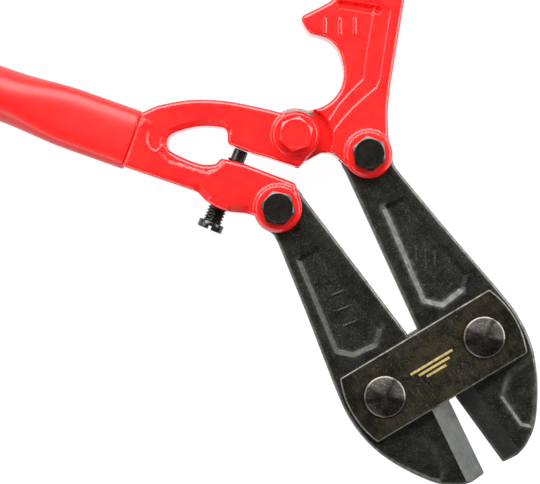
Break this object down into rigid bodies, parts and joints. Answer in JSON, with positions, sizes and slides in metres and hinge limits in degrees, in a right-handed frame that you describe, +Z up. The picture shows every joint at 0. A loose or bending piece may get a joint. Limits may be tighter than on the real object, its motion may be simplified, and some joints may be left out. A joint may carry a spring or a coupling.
{
  "type": "bolt cutters",
  "caption": "Long-handled bolt cutters with red tubular handles, forged red fittings, black bevelled jaws held between two straps, and a blade adjusting screw.",
  "frame": {"origin": "below the middle of the whole tool's outline as it lies flat with the jaws open, level with the lower ends of the pivot bolts", "axes": "+Y from the jaws to the handles along the centre line, +X towards the right handle and right jaw, +Z up, square to the flat of the jaws"},
  "size_m": [0.9496, 0.7512, 0.0513],
  "materials": {
    "tube_paint": "gloss",
    "fitting_paint": "gloss over a forged surface",
    "jaw_steel": "blackened, satin",
    "strap_steel": "blackened and oiled, satin",
    "bolt_steel": "blackened, satin",
    "grip_rubber": "matte"
  },
  "bodies": {
    "right_handle": {"right_handle_tube": "tube_paint", "right_grip": "grip_rubber", "right_handle_fitting": "fitting_paint", "centre_pivot_bolt": "fitting_paint", "centre_pivot_washer": "fitting_paint", "centre_pivot_nut": "fitting_paint", "right_jaw_bolt": "bolt_steel", "right_jaw_washer": "bolt_steel", "right_jaw_nut": "bolt_steel"},
    "left_handle": {"left_handle_tube": "tube_paint", "left_grip": "grip_rubber", "left_handle_fitting": "fitting_paint", "left_jaw_bolt": "bolt_steel", "left_jaw_washer": "bolt_steel", "left_jaw_nut": "bolt_steel"},
    "right_jaw": {"right_jaw": "jaw_steel"},
    "straps": {"front_strap": "strap_steel", "rear_strap": "strap_steel", "right_strap_bolt": "bolt_steel", "right_strap_washer": "bolt_steel", "right_strap_nut": "bolt_steel", "left_strap_bolt": "bolt_steel", "left_strap_washer": "bolt_steel", "left_strap_nut": "bolt_steel"},
    "left_jaw": {"left_jaw": "jaw_steel"},
    "adjusting_screw": {"adjusting_screw": "bolt_steel"}
  },
  "joints": [
    {"name": "handle_pivot", "type": "hinge", "parent": "right_handle", "child": "left_handle", "pos_m": [0, -0.13611, 0.028], "axis": [0, 0, -1], "range_deg": [-24, 46]},
    {"name": "right_jaw_pivot", "type": "hinge", "parent": "right_handle", "child": "right_jaw", "pos_m": [0.0324, -0.16931, 0.028], "axis": [0, 0, 1], "range_deg": [-28.2, 14.8]},
    {"name": "right_strap_pivot", "type": "hinge", "parent": "right_jaw", "child": "straps", "pos_m": [0.0355, -0.3019, 0.028], "axis": [0, 0, 1], "range_deg": [-2.8, 5.2]},
    {"name": "left_strap_pivot", "type": "hinge", "parent": "straps", "child": "left_jaw", "pos_m": [-0.0355, -0.3019, 0.028], "axis": [0, 0, 1], "range_deg": [-2.8, 5.2]},
    {"name": "adjusting_screw_travel", "type": "slide", "parent": "left_handle", "child": "adjusting_screw", "axis": [-0.8, -0.6, 0], "range_m": [0, 0.006]}
  ],
  "couplings": [
    {"joint": "right_jaw_pivot", "follows": "handle_pivot", "ratio": -0.61},
    {"joint": "right_strap_pivot", "follows": "handle_pivot", "ratio": 0.11},
    {"joint": "left_strap_pivot", "follows": "handle_pivot", "ratio": 0.11}
  ]
}
